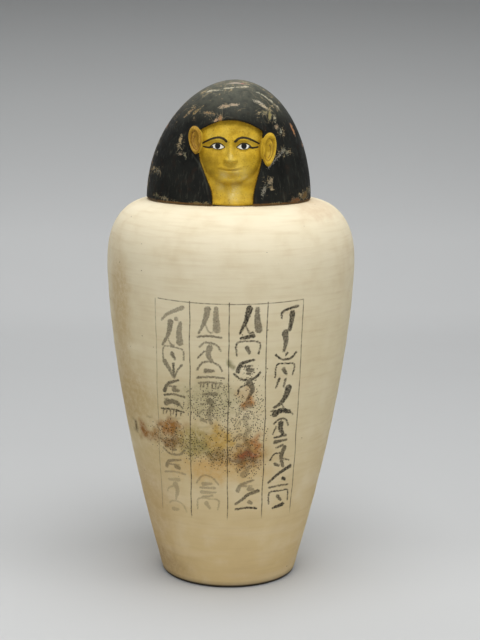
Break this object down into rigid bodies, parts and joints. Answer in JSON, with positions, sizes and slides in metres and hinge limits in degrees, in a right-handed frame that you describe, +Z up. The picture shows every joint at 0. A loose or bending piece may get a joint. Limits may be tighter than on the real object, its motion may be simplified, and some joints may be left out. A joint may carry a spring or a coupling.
{
  "type": "canopic jar",
  "caption": "Tapering pottery jar with a broad shoulder, closed by a loose lid modelled as a head in a full wig.",
  "frame": {"origin": "middle of the underside of the foot", "axes": "+Z up along the jar's axis, -Y out of the face of the lid, +X to the viewer's right"},
  "size_m": [0.188, 0.188, 0.38],
  "materials": {
    "cream_slip": "matt cream slip over fired clay, with black ink and brown stains",
    "painted_clay": "matt black paint on the wig and yellow ochre on the face, neck and ears"
  },
  "bodies": {
    "root": {"jar": "cream_slip", "lid": "painted_clay"}
  },
  "joints": []
}
